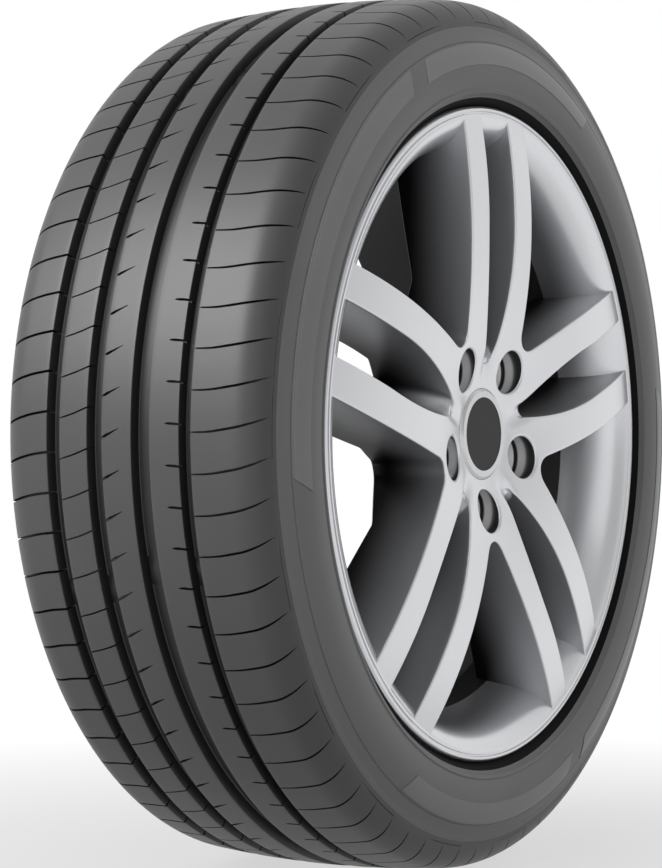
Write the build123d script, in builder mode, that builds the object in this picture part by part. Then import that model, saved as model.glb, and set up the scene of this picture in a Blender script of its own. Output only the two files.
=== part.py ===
"""Passenger-car tyre fitted to a five double-spoke alloy wheel, with its centre cap and valve.

The origin is the wheel's centre. The wheel spins about Y, and its outboard face looks along -Y.
"""

import os
from math import cos, degrees, radians, sin, tan

from build123d import *

os.makedirs("parts", exist_ok=True)

# Driving dimensions, in millimetres and degrees

# Rim contour, shared by the wheel and the tyre's beads
bead_seat_d = 436.6
rim_width = 190.5  # between the flanges
flange_height = 17.3
flange_curl = 4.8  # bevel between the flange's inner face and its top
flange_reach = 9.75  # from the flange's inner face out to the lip
lip_bevel = 1.6
seat_width = 20.0
seat_taper = 5.0
bead_fit = 0.1  # tyre bead to rim

# Tyre
tyre_d = 634.0
section_width = 225.0
crown_half = 82.0  # tread centre to where the shoulder begins to turn
crown_drop = 4.2
buttress_half = 104.0
ledge_half = 108.0
protector_half = 109.5
shoulder_share = 0.27  # places down the sidewall, as shares of the section height
ledge_share = 0.365
widest_share = 0.557
protector_share = 0.735
tread_base = 6.0  # rubber under the grooves
sidewall_wall = 9.0
bead_wall = 14.0  # rubber of the bead, level with the rim's lip
shoulder_bands = 2
sidewall_bands = 4

# Tread pattern: each groove as (centre, width), outboard at negative places
tread_grooves = [(-49.6, 8.8), (-15.9, 14.3), (20.4, 12.2), (54.75, 11.2)]
groove_depth = 8.0
groove_draft = 9.0
pitch_count = 74
slot_width = 2.4
slot_depth = 5.5
slot_reach = 0.85  # along the first shoulder band
slot_clear = 1.0
inboard_shift = 13.9  # round the tread, between outboard and inboard slots
tread_phase = 179.8

# Barrel
well_d = 402.0
well_start = -40.0
well_end = -10.0
well_ramp = 28.0  # axial run of the slopes beside the well
barrel_d = 428.0  # inboard of the well, under the tyre
barrel_wall = 6.0
lip_land = 7.6  # bright ring seen from outside
front_wall = 4.2  # metal behind the outboard flange and under its bead seat
cone_foot_y = -58.0  # where the outboard cone meets the well
cone_foot_d = 402.4

# Spokes and hub
spoke_pairs = 5
spoke_crown = 111.7  # outboard reach of the spoke faces
spoke_crown_r = 151.5
spoke_bands = 6
spoke_lip_inset = 1.0  # spoke face behind the lip where they meet
spoke_half_hub = 40.0  # outer edge of a pair, beside the hub
spoke_half_mid = 46.0
spoke_half_rim = 46.0
spoke_hub_z = 61.0  # stations along a pair
spoke_mid_z = 158.0
pair_gap_tip_r = 5.5  # half the gap between the two spokes of a pair, at its stations
pair_gap_mid = 16.4
pair_gap_rim = 20.0
pair_tip_z = 57.0
pair_mid_z = 104.0
gap_ramp = 35.0  # slope of the floor at the gap's hub end, from the wheel's axis
hub_disc_d = 156.0
window_fillet = 5.0
spoke_back_y = -62.0
spoke_back_r = 120.0
hub_offset = 45.0  # mounting face, outboard of the wheel's centre plane
hub_pad_d = 148.0
hub_pocket_d = 22.0  # weight-saving pockets in the mounting face, between the bolts
hub_pocket_depth = 18.0
hub_front_r = 34.0
hub_front = 94.6
centre_bore_d = 57.1
bolt_circle_d = 112.0
bolt_hole_d = 15.0
bolt_seat_d = 25.0
bolt_seat_angle = 60.0
bolt_pocket_d = 31.0
bolt_ledge = 40.0  # mounting face to the ledge where a bolt pocket narrows
bolt_ledge_angle = 60.0
bolt_bore_d = 26.0
bolt_land = 13.0  # mounting face to the foot of a bolt pocket

# Centre cap
cap_d = 66.0
cap_fit = 0.15
cap_flange = 3.0
cap_proud = 1.6
bezel_bevel = 2.0
disc_d = 53.0
disc_thickness = 1.2
disc_sink = 0.4
clip_length = 14.0
clip_wall = 2.0
clip_slot = 9.0
clip_root = 2.0
clip_count = 6
barb_height = 0.8
barb_length = 3.0

# Valve
valve_angle = 20.0  # from the top pair's centre line, beside its spoke
valve_y = -66.8
valve_hole_d = 11.4
valve_wall = 4.0  # rim metal between the spot faces
valve_spot_d = 16.6
valve_spot_sink = 0.4  # below the cone's surface
valve_head_d = 15.0
valve_head_length = 8.0
valve_collar_d = 15.0
valve_collar_taper = 6.0
valve_neck_d = 11.0
valve_rubber_length = 22.0
stem_d = 7.7
stem_bore_d = 5.0
stem_length = 32.0
core_length = 17.0
core_thread = 6.0
core_pin_d = 2.4
core_sunk = 1.0
valve_cap_d = 10.5
valve_cap_length = 11.0
valve_cap_grip = 8.0
valve_fit = 0.05

# Places worked out from the sizes above
tyre_r = tyre_d / 2
seat_r = bead_seat_d / 2
lip_r = seat_r + flange_height
flange_y = rim_width / 2
lip_y = flange_y + flange_reach
section_half = section_width / 2
section_height = tyre_r - seat_r
shoulder_r = tyre_r - shoulder_share * section_height
ledge_r = tyre_r - ledge_share * section_height
widest_r = tyre_r - widest_share * section_height
protector_r = tyre_r - protector_share * section_height
seat_drop = seat_width * tan(radians(seat_taper))


def crown_r(y):
    """Radius of the tread's surface at a place across the crown."""
    return tyre_r - crown_drop * (y / crown_half) ** 2


def facets(curve, count):
    """Even points along a curve: the flat bands that stand for a round stretch of the section."""
    return [curve @ (step / count) for step in range(count + 1)]


# Tyre

groove_edges = [(centre - width / 2, centre + width / 2) for centre, width in tread_grooves]
outboard_edge = groove_edges[0][0]
inboard_edge = groove_edges[-1][1]
floor_inset = groove_depth * tan(radians(groove_draft))
liner_r = crown_r(inboard_edge) - groove_depth - tread_base
bead_y = flange_y - bead_fit
toe = (flange_y - seat_width, seat_r - seat_drop + bead_fit)
liner_y = buttress_half - sidewall_wall
shoulder_start = (crown_half, crown_r(crown_half))


def land_r(place):
    """Radius of a groove's edge: each centre rib is flat, and the shoulder ribs follow the crown."""
    for (_, start), (end, _) in zip(groove_edges, groove_edges[1:]):
        if start <= place <= end:
            return crown_r((start + end) / 2)
    return crown_r(place)


tread_line = [(-crown_half, crown_r(crown_half))]
for outer, inner in groove_edges:
    floor_r = crown_r((outer + inner) / 2) - groove_depth
    tread_line += [
        (outer, land_r(outer)),
        (outer + floor_inset, floor_r),
        (inner - floor_inset, floor_r),
        (inner, land_r(inner)),
    ]
tread_line += [shoulder_start]

with BuildPart() as tyre_blank:
    with BuildSketch(Plane.YZ):
        with BuildLine(mode=Mode.PRIVATE):
            shoulder = TangentArc(
                shoulder_start,
                (buttress_half, shoulder_r),
                tangent=(1.0, -2 * crown_drop / crown_half),
            )
            sidewall = ThreePointArc(
                (ledge_half, ledge_r), (section_half, widest_r), (protector_half, protector_r)
            )
        with BuildLine():
            Polyline(
                *facets(shoulder, shoulder_bands),
                *facets(sidewall, sidewall_bands),
                (bead_y + flange_curl, lip_r),
                (bead_y, lip_r - flange_curl),
                (bead_y, seat_r + bead_fit),
                toe,
                (bead_y - bead_wall, lip_r),
                (section_half - sidewall_wall, widest_r),
                (ledge_half - sidewall_wall, ledge_r),
                (liner_y, shoulder_r),
                (liner_y - (liner_r - shoulder_r), liner_r),
                (0, liner_r),
            )
            mirror(about=Plane.YZ)
            Polyline(*tread_line)
        make_face()
    revolve(axis=Axis.Y)

# A slot cutter is a thin sector about the wheel's axis, drawn with that axis along Z
slot_angle = degrees(slot_width / tyre_r)
slot_fade = shoulder_start + (shoulder @ (1 / shoulder_bands) - Vector(*shoulder_start)) * slot_reach


def slot_cutter(edge):
    """Cutter for one shoulder slot: open to its groove, and fading out on the shoulder."""
    start = edge - slot_clear
    top = tyre_r + slot_clear
    with BuildPart() as cutter:
        with BuildSketch(Plane.XZ):
            with BuildLine():
                Polyline(
                    (land_r(edge) - slot_depth, start),
                    (slot_fade.Y, slot_fade.X),
                    (top, slot_fade.X),
                    (top, start),
                    close=True,
                )
            make_face()
        revolve(axis=Axis.Z, revolution_arc=slot_angle)
    return cutter.part


outboard_slot = slot_cutter(-outboard_edge)
inboard_slot = slot_cutter(inboard_edge).rotate(Axis.X, 180.0)

with BuildPart(Plane.XZ) as tyre:
    add(tyre_blank.part.moved(Plane.XZ.location.inverse()))
    with PolarLocations(0, pitch_count, start_angle=tread_phase):
        add(outboard_slot, mode=Mode.SUBTRACT)
    with PolarLocations(0, pitch_count, start_angle=tread_phase - degrees(inboard_shift / tyre_r)):
        add(inboard_slot, mode=Mode.SUBTRACT)
tyre.part.label = "tyre"
export_step(tyre.part, "parts/tyre.step")

# Alloy wheel

well_r = well_d / 2
barrel_r = barrel_d / 2
bore_r = centre_bore_d / 2
lip_land_r = lip_r - lip_land
seat_end = flange_y - seat_width
seat_foot_r = seat_r - seat_drop
curl_foot_r = lip_r - flange_curl
curl_top_y = flange_y + flange_curl
cone_top = (-flange_y - front_wall, seat_r - front_wall)
cone_foot = (cone_foot_y, cone_foot_d / 2)
well_foot = (well_start, well_r - barrel_wall)
pair_step = 360.0 / spoke_pairs
pocket_y = -hub_offset - bolt_land
bolt_ledge_y = -hub_offset - bolt_ledge
cap_front_y = -hub_front - cap_proud
cap_seat_y = cap_front_y + cap_flange
clip_end_y = cap_seat_y + clip_length
barb_r = bore_r + barb_height

# The valve points inward, square to the outboard cone
cone_run = (cone_top[0] - cone_foot[0], cone_top[1] - cone_foot[1])
valve_r = cone_foot[1] + (valve_y - cone_foot[0]) * cone_run[1] / cone_run[0]
valve_out = Vector(sin(radians(valve_angle)), 0, cos(radians(valve_angle)))
valve_side = Vector(cos(radians(valve_angle)), 0, -sin(radians(valve_angle)))
valve_dir = Vector(0, -cone_run[1], 0) + valve_out * cone_run[0]
valve_seat = valve_out * (valve_r + valve_spot_sink) + Vector(0, valve_y, 0)
valve_plane = Plane(origin=valve_seat, x_dir=valve_side, z_dir=valve_dir)
valve_section = Plane(origin=valve_seat, x_dir=valve_side, z_dir=valve_side.cross(valve_dir))
valve_axis = Axis(valve_plane.origin, valve_plane.z_dir)


def halfway(first, second):
    """Point midway between two points of a section."""
    return ((first[0] + second[0]) / 2, (first[1] + second[1]) / 2)


# The gap in a pair is cut by a prism with a sloping hub end, drawn with the wheel's axis along Z
gap_tip = pair_tip_z - pair_gap_tip_r
ramp_face = Plane(
    origin=(0, gap_tip, hub_front), z_dir=(0, cos(radians(gap_ramp)), sin(radians(gap_ramp)))
)

with BuildPart() as pair_gap:
    with BuildSketch():
        with BuildLine():
            gap_edge = ThreePointArc(
                (pair_gap_tip_r, pair_tip_z), (pair_gap_mid, pair_mid_z), (pair_gap_rim, spoke_mid_z)
            )
            Polyline(gap_edge @ 1, (pair_gap_rim, lip_r), (0, lip_r))
            mirror(about=Plane.YZ)
            ThreePointArc((-pair_gap_tip_r, pair_tip_z), (0, gap_tip), (pair_gap_tip_r, pair_tip_z))
        make_face()
    extrude(amount=section_width)
    split(bisect_by=ramp_face, keep=Keep.TOP)

with BuildPart() as alloy_wheel:
    # Disc whose face bulges outboard between the hub and the lip
    with BuildSketch(Plane.YZ):
        with BuildLine(mode=Mode.PRIVATE):
            spoke_face = ThreePointArc(
                (-hub_front, hub_front_r),
                (-spoke_crown, spoke_crown_r),
                (-lip_y + spoke_lip_inset, lip_r - lip_land / 2),
            )
        with BuildLine():
            Polyline(
                *facets(spoke_face, spoke_bands),
                halfway(cone_top, (-flange_y, seat_r)),
                halfway(cone_foot, (cone_foot_y, seat_foot_r)),
                halfway(cone_foot, (well_start, well_r)),
                (spoke_back_y, spoke_back_r),
                (-hub_offset, hub_pad_d / 2),
                (-hub_offset, bore_r),
                (-hub_front, bore_r),
                close=True,
            )
        make_face()
    revolve(axis=Axis.Y)
    # The hub and five pairs of spokes are what is kept of the disc
    with BuildSketch(Plane.XZ) as plan:
        with BuildSketch(mode=Mode.PRIVATE) as pair:
            with BuildLine():
                pair_edge = ThreePointArc(
                    (spoke_half_hub, spoke_hub_z), (spoke_half_mid, spoke_mid_z), (spoke_half_rim, lip_r)
                )
                Polyline((0, lip_r), pair_edge @ 1)
                Polyline(pair_edge @ 0, (0, spoke_hub_z))
                mirror(about=Plane.YZ)
            make_face()
        Circle(hub_disc_d / 2)
        with PolarLocations(0, spoke_pairs):
            add(pair.sketch)
        forks = [corner for corner in plan.vertices() if abs(Vector(corner).length - hub_disc_d / 2) < 0.01]
        fillet(forks, window_fillet)
    extrude(amount=section_width, both=True, mode=Mode.INTERSECT)
    with Locations(Plane.XZ):
        with PolarLocations(0, spoke_pairs):
            add(pair_gap.part, mode=Mode.SUBTRACT)
    # Barrel with its two flanges, bead seats and drop centre
    with BuildSketch(Plane.YZ):
        with BuildLine():
            Polyline(
                (-lip_y, lip_land_r),
                (-lip_y, lip_r - lip_bevel),
                (-lip_y + lip_bevel, lip_r),
                (-curl_top_y, lip_r),
                (-flange_y, curl_foot_r),
                (-flange_y, seat_r),
                (-seat_end, seat_foot_r),
                (well_start - well_ramp, seat_foot_r),
                (well_start, well_r),
                (well_end, well_r),
                (well_end + well_ramp, barrel_r),
                (seat_end, seat_foot_r),
                (flange_y, seat_r),
                (flange_y, curl_foot_r),
                (curl_top_y, lip_r),
                (lip_y - lip_bevel, lip_r),
                (lip_y, lip_r - lip_bevel),
                (lip_y, lip_land_r),
                (flange_y, barrel_r - barrel_wall),
                (well_end + well_ramp, barrel_r - barrel_wall),
                (well_end, well_r - barrel_wall),
                well_foot,
                cone_foot,
                cone_top,
                close=True,
            )
        make_face()
    revolve(axis=Axis.Y)
    # Bolt pockets, each with a sloping ledge, a narrower bore, a conical seat and a through hole
    with BuildSketch(Plane.XZ.offset(-bolt_ledge_y)):
        with PolarLocations(bolt_circle_d / 2, spoke_pairs, start_angle=90.0 + pair_step / 2):
            Circle(bolt_pocket_d / 2)
    extrude(amount=spoke_crown, mode=Mode.SUBTRACT)
    with Locations(Plane.XZ.offset(-bolt_ledge_y)):
        with PolarLocations(bolt_circle_d / 2, spoke_pairs, start_angle=90.0 + pair_step / 2):
            CounterSinkHole(
                bolt_bore_d / 2,
                bolt_pocket_d / 2,
                depth=bolt_ledge - bolt_land,
                counter_sink_angle=bolt_ledge_angle,
            )
    with Locations(Plane.XZ.offset(-pocket_y)):
        with PolarLocations(bolt_circle_d / 2, spoke_pairs, start_angle=90.0 + pair_step / 2):
            CounterSinkHole(bolt_hole_d / 2, bolt_seat_d / 2, counter_sink_angle=bolt_seat_angle)
    # Weight-saving pockets in the mounting face
    with BuildSketch(Plane.XZ.offset(hub_offset)):
        with PolarLocations(bolt_circle_d / 2, spoke_pairs, start_angle=90.0):
            Circle(hub_pocket_d / 2)
    extrude(amount=hub_pocket_depth, mode=Mode.SUBTRACT)
    # Seat for the cap's flange, and the groove that its clips snap into
    with BuildSketch(Plane.XZ.offset(-cap_seat_y)):
        Circle(cap_d / 2 + cap_fit)
    extrude(amount=spoke_crown, mode=Mode.SUBTRACT)
    with BuildSketch(Plane.XZ.offset(-clip_end_y - cap_fit)):
        Circle(barb_r)
    extrude(amount=barb_length + 2 * cap_fit, mode=Mode.SUBTRACT)
    # Valve hole, spot-faced on both sides
    with BuildSketch(valve_plane.offset(-valve_wall)):
        Circle(valve_hole_d / 2)
    extrude(amount=valve_wall, mode=Mode.SUBTRACT)
    with BuildSketch(valve_plane.offset(-valve_wall)):
        Circle(valve_spot_d / 2)
    extrude(amount=-valve_head_length, mode=Mode.SUBTRACT)
    with BuildSketch(valve_plane):
        Circle(valve_spot_d / 2)
    extrude(amount=valve_head_length, mode=Mode.SUBTRACT)
alloy_wheel.part.label = "alloy_wheel"
export_step(alloy_wheel.part, "parts/alloy_wheel.step")

# Centre cap and its plain inlay

cap_r = cap_d / 2
disc_floor_y = cap_front_y + disc_sink + disc_thickness
recess_r = disc_d / 2 + cap_fit
skirt_r = bore_r - cap_fit

with BuildPart() as centre_cap:
    with BuildSketch(Plane.YZ):
        with BuildLine():
            Polyline(
                (disc_floor_y, 0),
                (disc_floor_y, recess_r),
                (cap_front_y, recess_r),
                (cap_front_y, cap_r - bezel_bevel),
                (cap_front_y + bezel_bevel, cap_r),
                (cap_seat_y, cap_r),
                (cap_seat_y, skirt_r),
                (clip_end_y - barb_length, skirt_r),
                (clip_end_y - barb_length, barb_r - cap_fit),
                (clip_end_y, skirt_r - clip_wall / 2),
                (clip_end_y, skirt_r - clip_wall),
                (cap_seat_y, skirt_r - clip_wall),
                (cap_seat_y, 0),
                close=True,
            )
        make_face()
    revolve(axis=Axis.Y)
    with BuildSketch(Plane.XZ.offset(-clip_end_y)):
        with PolarLocations(skirt_r, clip_count):
            Rectangle(4 * clip_wall, clip_slot)
    extrude(amount=clip_length - clip_root, mode=Mode.SUBTRACT)
centre_cap.part.label = "centre_cap"
export_step(centre_cap.part, "parts/centre_cap.step")

with BuildPart() as cap_disc:
    with BuildSketch(Plane.XZ.offset(-disc_floor_y)):
        Circle(disc_d / 2)
    extrude(amount=disc_thickness)
cap_disc.part.label = "cap_disc"
export_step(cap_disc.part, "parts/cap_disc.step")

# Valve, each piece turned about the valve's own axis

stem_r = stem_d / 2
sleeve_r = stem_r + valve_fit
core_bore_r = stem_bore_d / 2
head_foot = -valve_wall - valve_head_length
core_top = stem_length - core_sunk

with BuildPart() as valve_body:
    with BuildSketch(valve_section):
        with BuildLine():
            Polyline(
                (sleeve_r, head_foot),
                (valve_hole_d / 2, head_foot),
                (valve_head_d / 2, -valve_wall - valve_head_length / 2),
                (valve_head_d / 2, -valve_wall),
                (valve_hole_d / 2 - valve_fit, -valve_wall),
                (valve_hole_d / 2 - valve_fit, 0),
                (valve_collar_d / 2, 0),
                (valve_neck_d / 2, valve_collar_taper),
                (valve_neck_d / 2, valve_rubber_length),
                (sleeve_r, valve_rubber_length),
                close=True,
            )
        make_face()
    revolve(axis=valve_axis)
valve_body.part.label = "valve_body"
export_step(valve_body.part, "parts/valve_body.step")

with BuildPart() as valve_stem:
    with BuildSketch(valve_section):
        with BuildLine():
            Polyline(
                (core_bore_r, head_foot),
                (stem_r, head_foot),
                (stem_r, stem_length),
                (core_bore_r, stem_length),
                close=True,
            )
        make_face()
    revolve(axis=valve_axis)
valve_stem.part.label = "valve_stem"
export_step(valve_stem.part, "parts/valve_stem.step")

with BuildPart() as valve_core:
    with BuildSketch(valve_section):
        with BuildLine():
            Polyline(
                (0, core_top - core_length),
                (core_pin_d / 2, core_top - core_length),
                (core_pin_d / 2, core_top - core_thread),
                (core_bore_r - valve_fit, core_top - core_thread),
                (core_bore_r - valve_fit, core_top),
                (0, core_top),
                close=True,
            )
        make_face()
    revolve(axis=valve_axis)
valve_core.part.label = "valve_core"
export_step(valve_core.part, "parts/valve_core.step")

cap_foot = stem_length - valve_cap_grip

with BuildPart() as valve_cap:
    with BuildSketch(valve_section):
        with BuildLine():
            Polyline(
                (sleeve_r, cap_foot),
                (valve_cap_d / 2, cap_foot),
                (valve_cap_d / 2, cap_foot + valve_cap_length),
                (0, cap_foot + valve_cap_length),
                (0, stem_length + valve_fit),
                (sleeve_r, stem_length + valve_fit),
                close=True,
            )
        make_face()
    revolve(axis=valve_axis)
valve_cap.part.label = "valve_cap"
export_step(valve_cap.part, "parts/valve_cap.step")
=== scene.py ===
"""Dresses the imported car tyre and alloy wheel: moulded tread, cast spokes, finishes and a studio.

Lengths in the mesh code are millimetres, and become metres where a mesh is made. The wheel spins
about Y, and its outboard face looks along -Y.
"""

from math import acos, atan2, ceil, cos, hypot, pi, radians, sin, sqrt, tan
from typing import NamedTuple

import bmesh
import bpy
import numpy as np
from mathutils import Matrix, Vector
from mathutils.geometry import delaunay_2d_cdt


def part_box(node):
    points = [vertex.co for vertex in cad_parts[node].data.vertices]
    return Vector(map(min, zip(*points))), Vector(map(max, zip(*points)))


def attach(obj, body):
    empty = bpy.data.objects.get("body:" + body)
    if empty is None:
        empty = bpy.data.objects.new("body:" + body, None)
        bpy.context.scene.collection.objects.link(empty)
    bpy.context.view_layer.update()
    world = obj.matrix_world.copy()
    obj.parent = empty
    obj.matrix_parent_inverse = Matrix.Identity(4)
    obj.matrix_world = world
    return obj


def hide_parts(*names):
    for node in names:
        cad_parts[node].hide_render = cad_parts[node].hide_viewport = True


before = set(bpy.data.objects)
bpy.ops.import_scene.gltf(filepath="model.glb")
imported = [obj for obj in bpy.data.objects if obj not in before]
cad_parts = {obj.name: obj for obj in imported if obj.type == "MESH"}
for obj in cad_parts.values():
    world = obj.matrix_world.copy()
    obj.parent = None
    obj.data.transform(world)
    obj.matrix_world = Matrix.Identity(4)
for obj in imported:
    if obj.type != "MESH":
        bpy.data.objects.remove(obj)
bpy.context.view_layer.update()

bl_info = {
    "name": "Car tyre on alloy wheel",
    "version": (1, 0, 0),
    "blender": (4, 5, 0),
    "location": "3D View > Sidebar > Wheel",
    "description": "Moulds the tyre, casts the wheel and sets the studio around the packed frame",
    "category": "Add Mesh",
}

MM = 0.001
CREASE = 35.0  # degrees, past which an edge stays crisp
TYRE_LOW, TYRE_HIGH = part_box("tyre")


def length(name, description, millimetres):
    """A property for a size, written in millimetres and kept in metres."""
    return bpy.props.FloatProperty(
        name=name, description=description, default=millimetres * MM, unit="LENGTH", precision=4
    )


def linear(code):
    """Linear colour of an sRGB hex code."""
    channels = [int(code[place : place + 2], 16) / 255 for place in (1, 3, 5)]
    return [c / 12.92 if c <= 0.04045 else ((c + 0.055) / 1.055) ** 2.4 for c in channels]


def colour(name, description, code):
    """A property for a colour, written as an sRGB hex code."""
    return bpy.props.FloatVectorProperty(
        name=name, description=description, default=linear(code), subtype="COLOR", min=0.0, max=1.0
    )


class TyreSizes(bpy.types.PropertyGroup):
    """Sizes of the tyre's moulding."""

    outer_radius: length("Outer radius", "Wheel's axis to the crown", (TYRE_HIGH.z - TYRE_LOW.z) / 2 / MM)
    groove_depth: length("Groove depth", "Tread surface to the floor of a main groove", 8.0)
    groove_wall: length("Groove wall", "How far a groove's wall leans in from its edge to its floor", 1.3)
    panel_height: length("Panel height", "How far the plain sidewall panels stand out", 0.5)
    ridge_height: length("Ridge height", "How far the shoulder ridge stands out", 0.35)
    protector_height: length("Rim protector", "How far the rim protector stands out", 1.0)
    flow_line: length("Flow line", "Depth of the fine lines round the outboard shoulder", 0.5)
    wear_bar: length("Wear bar", "Height of a wear bar above its groove's floor", 1.6)
    pitches: bpy.props.IntProperty(name="Pitches", description="Slots round the tread", default=74, min=12)


class WheelSizes(bpy.types.PropertyGroup):
    """Sizes of the wheel's casting."""

    edge: length("Edge radius", "Rounding along the spokes' edges", 1.0)
    pocket_chamfer: length("Pocket chamfer", "Rounding of the mouth of a bolt pocket", 2.0)
    draft: bpy.props.FloatProperty(
        name="Draft", description="Lean of the spokes' flanks", default=radians(2.5), subtype="ANGLE"
    )


class Finishes(bpy.types.PropertyGroup):
    """Colours of the finishes."""

    tread: colour("Tread", "Rubber of the ribs, greyed by bloom", "#404041")
    # Darker than the tread as painted shade down in the grooves and slots.
    groove: colour("Groove", "Fresh rubber down in the grooves and slots", "#1c1c1d")
    sidewall: colour("Sidewall", "Rubber of the sidewalls", "#6b6b6c")
    panel: colour("Panel", "Polished plain panels on the sidewall", "#79797a")
    # Near-black, as painted shade in the gap between the rim and the rim protector.
    bead: colour("Bead", "Rubber beside the rim", "#09090a")
    lacquer: colour("Lacquer", "Silver lacquer on the wheel's faces", "#dcdde0")
    # Silver of the flanks beside the faces, a shade darker than the face lacquer: painted shade.
    base_coat: colour("Base coat", "Grey base coat on the spokes' flanks, beside their faces", "#b9babd")
    # Near-black coat inside the barrel and on the back, partly painted shade there; also the dark end of the
    # painted shade on the flanks and in the pockets.
    casting: colour("Casting", "Dark primer on the bare casting inside the barrel", "#151517")
    pocket: colour("Pocket", "Bare alloy in the bored bolt pockets", "#f0f0f1")
    bezel: colour("Bezel", "Silver lacquer on the centre cap", "#cfd0d2")
    inlay: colour("Inlay", "Plastic disc in the centre cap", "#1c1c1d")
    brass: colour("Brass", "Turned valve brass", "#c9a45c")
    valve_rubber: colour("Valve rubber", "Rubber of the valve's body", "#2a2a2b")
    valve_cap: colour("Valve cap", "Plastic of the valve's cap", "#242425")
    floor: colour("Floor", "Studio floor", "#9c9c9c")


def in_millimetres(group):
    """The values of a property group, with its lengths in millimetres."""
    values = {}
    for name, prop in group.bl_rna.properties.items():
        if name in ("rna_type", "name"):
            continue
        value = getattr(group, name)
        values[name] = value / MM if getattr(prop, "unit", "NONE") == "LENGTH" else value
    return values


# Curves


def through(points, place):
    """Value at a place on the one smooth curve through a few points."""
    total = 0.0
    for first, (x, value) in enumerate(points):
        for second, (other, _) in enumerate(points):
            if first != second:
                value *= (place - other) / (x - other)
        total += value
    return total


def eased(places, values, place):
    """Value at a place on a smooth line through a table's points."""
    slopes = np.gradient(values, places)
    left = int(np.clip(np.searchsorted(places, place) - 1, 0, len(places) - 2))
    run = places[left + 1] - places[left]
    t = min(max((place - places[left]) / run, 0.0), 1.0)
    start = (1 + 2 * t) * (1 - t) ** 2 * values[left] + t * (1 - t) ** 2 * run * slopes[left]
    end = t * t * (3 - 2 * t) * values[left + 1] + t * t * (t - 1) * run * slopes[left + 1]
    return start + end


def steps(start, end, count):
    """Even places from start to end, both included."""
    return [start + (end - start) * step / count for step in range(count + 1)]


def bezier(start, pull, end, count):
    """Points along a curve that leaves start and reaches end in the direction of pull."""
    curve = []
    for t in steps(0.0, 1.0, count):
        weights = ((1 - t) ** 2, 2 * t * (1 - t), t * t)
        curve.append(tuple(sum(w * p[axis] for w, p in zip(weights, (start, pull, end))) for axis in (0, 1)))
    return curve


def rounded(section, count=4):
    """Closed section with its corners rounded: each corner is (y, r, radius)."""
    outline = []
    for index, (y, r, radius) in enumerate(section):
        corner = Vector((y, r))
        if not radius:
            outline.append((y, r))
            continue
        before = (Vector(section[index - 1][:2]) - corner).normalized()
        after = (Vector(section[(index + 1) % len(section)][:2]) - corner).normalized()
        reach = radius / tan(before.angle(after) / 2)
        outline += bezier(corner + before * reach, corner, corner + after * reach, count)
    return outline


# Meshes


class Skin:
    """Points and faces of one closed skin, in millimetres."""

    def __init__(self):
        self.points = []
        self.faces = []

    def loop(self, points):
        """Adds a closed loop of points."""
        start = len(self.points)
        self.points += points
        return range(start, len(self.points))

    def wall(self, first, second):
        """Bridges two loops with as many points."""
        count = len(first)
        for index in range(count):
            after = (index + 1) % count
            self.faces.append((first[index], first[after], second[after], second[index]))

    def walls(self, loops):
        """Bridges a run of loops, and gives back the first and last."""
        placed = [self.loop(points) for points in loops]
        for first, second in zip(placed, placed[1:]):
            self.wall(first, second)
        return placed[0], placed[-1]

    def fill(self, loops, holes, inner, height):
        """Fills the plan between an outer loop and round holes, with inner points lifted to a surface."""
        border = [index for loop in loops for index in loop]
        inner_loop = list(self.loop([(x, height(x, z), z) for x, z in inner]))
        edges = []
        start = 0
        for loop in loops:
            count = len(loop)
            edges += [(start + step, start + (step + 1) % count) for step in range(count)]
            start += count
        indices = border + inner_loop
        plan = [Vector((self.points[index][0], self.points[index][2])) for index in indices]
        _, _, faces, origins, _, _ = delaunay_2d_cdt(plan, edges, [], 1, 1e-6)
        for face in faces:
            corners = [origins[corner][0] for corner in face]
            middle = sum((plan[corner] for corner in corners), Vector((0.0, 0.0))) / len(corners)
            if all((middle - Vector(centre)).length > radius for centre, radius in holes):
                self.faces.append(tuple(indices[corner] for corner in corners))

    def lathe(self, section, segments):
        """Turns a closed section of (y, r) points about the wheel's axis."""
        turns = [2 * pi * step / segments for step in range(segments)]
        rings = [self.loop([(r * cos(turn), y, r * sin(turn)) for turn in turns]) for y, r in section]
        for first, second in zip(rings, rings[1:] + rings[:1]):
            self.wall(first, second)

    def piece(self, name):
        """Makes the mesh object, smooth but for its crisp edges."""
        mesh = bpy.data.meshes.new(name)
        mesh.from_pydata([Vector(point) * MM for point in self.points], [], self.faces)
        shell = bmesh.new()
        shell.from_mesh(mesh)
        bmesh.ops.recalc_face_normals(shell, faces=shell.faces)
        if shell.calc_volume(signed=True) < 0:
            bmesh.ops.reverse_faces(shell, faces=shell.faces)
        shell.to_mesh(mesh)
        shell.free()
        mesh.shade_smooth()
        mesh.set_sharp_from_angle(angle=radians(CREASE))
        made = bpy.data.objects.new(name, mesh)
        bpy.context.scene.collection.objects.link(made)
        return made


def stand_for(piece, node):
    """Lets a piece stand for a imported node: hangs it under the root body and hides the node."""
    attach(piece, "root")
    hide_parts(node)


def dress(piece, finishes, faces):
    """Gives a piece its finishes, and each of its faces the number of one."""
    piece.data.materials.clear()
    for finish in finishes:
        piece.data.materials.append(finish)
    piece.data.polygons.foreach_set("material_index", faces)


# Materials

RING_SPACING = 1.2  # of the cutter's rings in the sidewall mould
BORE_FEED = 0.8  # from ring to ring in a bored pocket, drawn about four times as coarse so that it shows
FLAKE = 0.7  # of the lacquer, about 0.05 mm on the real one and drawn coarser so that it shows at all
FLANK_SHADE_START = -102.0  # places along the axis where the flanks' painted shade starts, and where it is fully dark
FLANK_SHADE_FULL = -58.0
POCKET_SHADE_SHARES = [  # share of painted shade in a bolt pocket, by place along the axis from its mouth inwards
    (-98.0, 0.95),
    (-96.0, 0.85),
    (-93.5, 0.1),
    (-91.5, 0.0),
    (-88.6, 0.0),
    (-87.2, 0.95),
    (-85.0, 0.95),
    (-84.2, 0.0),
    (-58.0, 0.3),
]


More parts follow.
